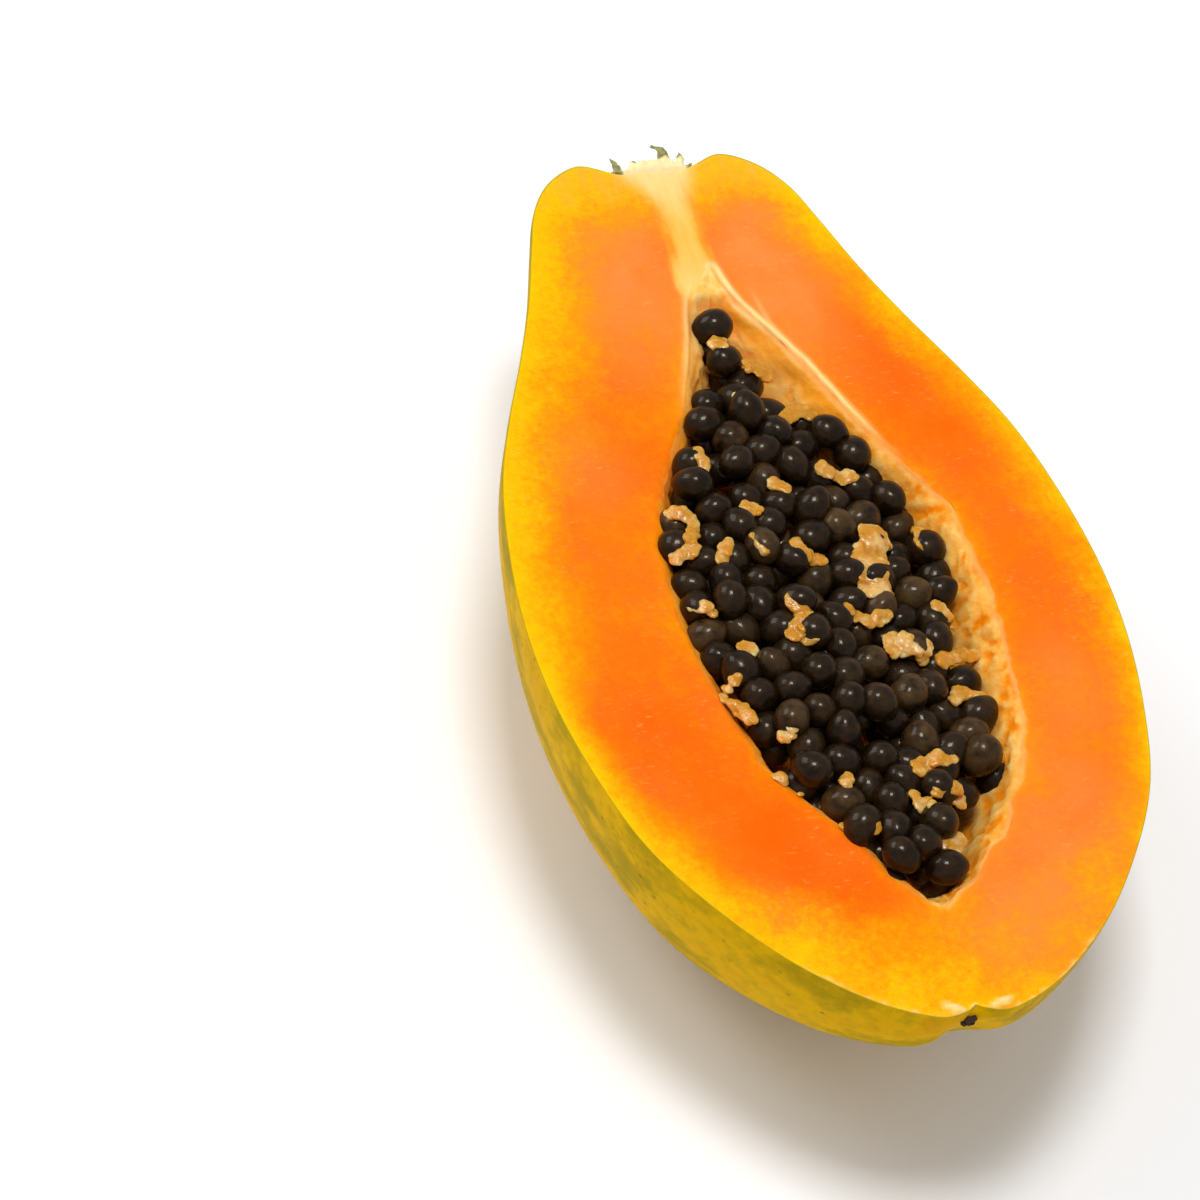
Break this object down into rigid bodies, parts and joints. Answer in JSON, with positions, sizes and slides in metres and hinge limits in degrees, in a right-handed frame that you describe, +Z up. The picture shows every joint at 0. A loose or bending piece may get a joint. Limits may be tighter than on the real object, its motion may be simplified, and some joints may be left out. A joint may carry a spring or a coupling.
{
  "type": "halved papaya",
  "caption": "Ripe papaya cut in half from stem to blossom end, lying on its rounded back with the seed-filled cavity open upwards.",
  "frame": {"origin": "middle of the length and width, at the level of the small flat spot that the fruit rests on", "axes": "+Z up out of the cut face, +Y along the fruit towards its stem end, +X across the cut face"},
  "size_m": [0.0948, 0.1678, 0.0511],
  "materials": {
    "fruit": "moist orange flesh, waxy yellow-green skin",
    "seed": "wet, glossy",
    "pulp": "moist, translucent",
    "stalk": "dry, fibrous",
    "scar": "dry, dark"
  },
  "bodies": {
    "root": {"fruit_half": "fruit", "seeds": "seed", "torn_pulp_1": "pulp", "torn_pulp_2": "pulp", "torn_pulp_3": "pulp", "torn_pulp_4": "pulp", "torn_pulp_5": "pulp", "torn_pulp_6": "pulp", "torn_pulp_7": "pulp", "torn_pulp_8": "pulp", "stalk_stub": "stalk", "blossom_scar": "scar"}
  },
  "joints": []
}
